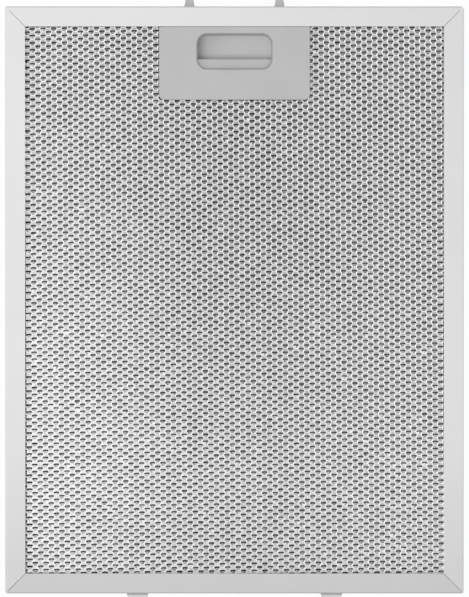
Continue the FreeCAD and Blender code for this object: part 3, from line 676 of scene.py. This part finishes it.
def pressed_finish(name, greys, rough, root=()):
    """Plain pressed or drawn metal with faint lines along Y, with painted shadow at its root where it has
    one.
    """
    finish = Finish(name, Metallic=1.0)
    rolled = finish.use(ROLLED_METAL, Place=finish.scaled(DRAWN_LINES), Lines=0.6, Clouds=0.4)
    _, y, _ = finish.places()
    finish.shade(finish.total(rolled["Tone"], finish.change(y, *root)), *greys)
    finish.roughen(rolled["Gloss"], *rough)
    return finish.material


def dress(finish, *pieces):
    """Gives pieces one finish in every material slot."""
    for piece in pieces:
        piece.data.materials.clear()
        piece.data.materials.append(finish)


def pale_floor():
    """White table: lit and shadowed as matt white, and nearly pure white to the camera and in
    reflections."""
    mesh = bpy.data.meshes.new("table")
    corners = np.array([[-1, -1, 0], [1, -1, 0], [1, 1, 0], [-1, 1, 0]], float) * TABLE_HALF
    mesh.from_pydata((corners - [0, 0, TABLE_GAP]).tolist(), [], [(0, 1, 2, 3)])
    table = bpy.data.objects.new("table", mesh)
    bpy.context.scene.collection.objects.link(table)
    material = bpy.data.materials.new("white_table")
    material.use_nodes = True
    tree = material.node_tree
    tree.nodes.clear()
    matt = add_node(tree, "ShaderNodeBsdfDiffuse", Color=(TABLE_WHITE, TABLE_WHITE, TABLE_WHITE, 1))
    glow = add_node(tree, "ShaderNodeEmission", Color=(1, 1, 1, 1), Strength=1.0)
    light = add_node(tree, "ShaderNodeLightPath").outputs
    seen = work_out(tree, "MAXIMUM", light["Is Camera Ray"], light["Is Glossy Ray"])
    share = work_out(tree, "MULTIPLY", seen, TABLE_GLOW)
    mixed = add_node(tree, "ShaderNodeMixShader", _0=share, _1=matt.outputs[0], _2=glow.outputs[0])
    add_node(tree, "ShaderNodeOutputMaterial", Surface=mixed.outputs[0])
    mesh.materials.append(material)


def soft_box(name, place, target, width, height, brightness):
    """Area lamp turned to a target, as bright to look at whatever its size."""
    lamp = bpy.data.lights.new(name, "AREA")
    lamp.shape = "RECTANGLE"
    lamp.size = width
    lamp.size_y = height
    lamp.energy = BOX_WATTS * width * height * brightness
    piece = bpy.data.objects.new(name, lamp)
    piece.location = place
    piece.rotation_mode = "QUATERNION"
    piece.rotation_quaternion = (Vector(target) - Vector(place)).to_track_quat("-Z", "Y")
    bpy.context.scene.collection.objects.link(piece)


def studio_light():
    """Soft surround that is dimmest overhead and brightest at the left, white to the camera, with a wide
    soft box overhead and a narrow one beyond the latch end, to the left."""
    world = bpy.data.worlds.new("studio")
    world.use_nodes = True
    tree = world.node_tree
    surround = tree.nodes["Background"]
    surround.inputs["Color"].default_value = (1, 1, 1, 1)
    towards = add_node(tree, "ShaderNodeTexCoord").outputs["Generated"]
    away = add_node(tree, "ShaderNodeVectorMath", {"operation": "SCALE"}, _0=towards, Scale=-1.0).outputs[0]
    level = SURROUND_LEVEL
    for direction, weights in ((towards, SURROUND_PLUS), (away, SURROUND_MINUS)):
        kept = add_node(tree, "ShaderNodeVectorMath", {"operation": "MAXIMUM"}, _0=direction, _1=(0, 0, 0))
        part = add_node(
            tree, "ShaderNodeVectorMath", {"operation": "DOT_PRODUCT"}, _0=kept.outputs[0], _1=weights
        )
        level = work_out(tree, "ADD", level, part.outputs["Value"])
    seen = add_node(tree, "ShaderNodeLightPath").outputs["Is Camera Ray"]
    shown = add_node(tree, "ShaderNodeMix", {"data_type": "FLOAT"}, _0=seen, _2=level, _3=1.0)
    tree.links.new(shown.outputs[0], surround.inputs["Strength"])
    bpy.context.scene.world = world
    soft_box("overhead_box", *OVERHEAD_BOX)
    soft_box("key_box", *KEY_BOX)


def photo_camera():
    """Long lens almost straight above the panel, with the latch at the top of the picture."""
    data = bpy.data.cameras.new("camera")
    data.lens = LENS
    data.sensor_width = SENSOR
    data.clip_start = 0.01
    data.clip_end = 20
    camera = bpy.data.objects.new("camera", data)
    distance = VIEW_ELEMENTS * ELEMENT_SIZE * LENS / SENSOR
    aim = Vector((0.0, AIM_ALONG, FRAME_HIGH[2]))
    camera.location = aim + Vector((0, math.sin(CAMERA_LEAN), math.cos(CAMERA_LEAN))) * distance
    camera.rotation_euler = (-CAMERA_LEAN, 0, 0)
    bpy.context.scene.collection.objects.link(camera)
    bpy.context.scene.camera = camera


front_sheet = expanded_sheet("front_expanded_sheet", "front_mesh", True)
rear_sheet = expanded_sheet("rear_expanded_sheet", "rear_mesh", False)
front_foil = crimped_foil("front_crimped_foil", "inner_mesh_1", True)
rear_foil = crimped_foil("rear_crimped_foil", "inner_mesh_5", False)
springs = [latch_spring(f"coil_{side}", f"spring_{side}") for side in ("left", "right")]

dress(frame_finish(), nodes["frame"])
dress(mesh_finish(), front_sheet, rear_sheet)
dress(foil_finish(), front_foil, rear_foil, *[nodes[f"inner_mesh_{i}"] for i in (2, 3, 4)])
latch_plastic = plastic_finish("latch_plastic", LATCH_GRAIN, PLATE_RIM_SHADE_AND_FLOOR_LIGHT, FLOOR_SHADING_ACROSS, FLOOR_SHADING_ALONG)
dress(latch_plastic, nodes["handle_plate"], nodes["latch_housing"])
dress(plastic_finish("slider_plastic", SLIDER_GRAIN), nodes["latch_slider"])
dress(pressed_finish("spring_steel", SPRING_GREYS, SPRING_ROUGH), *springs)
dress(pressed_finish("lug_metal", LUG_GREYS, LUG_ROUGH, LUG_ROOT_SHADOW), nodes["lug_left"], nodes["lug_right"])

pale_floor()
studio_light()
photo_camera()
bpy.context.scene.view_settings.view_transform = "Standard"

bpy.context.view_layer.update()
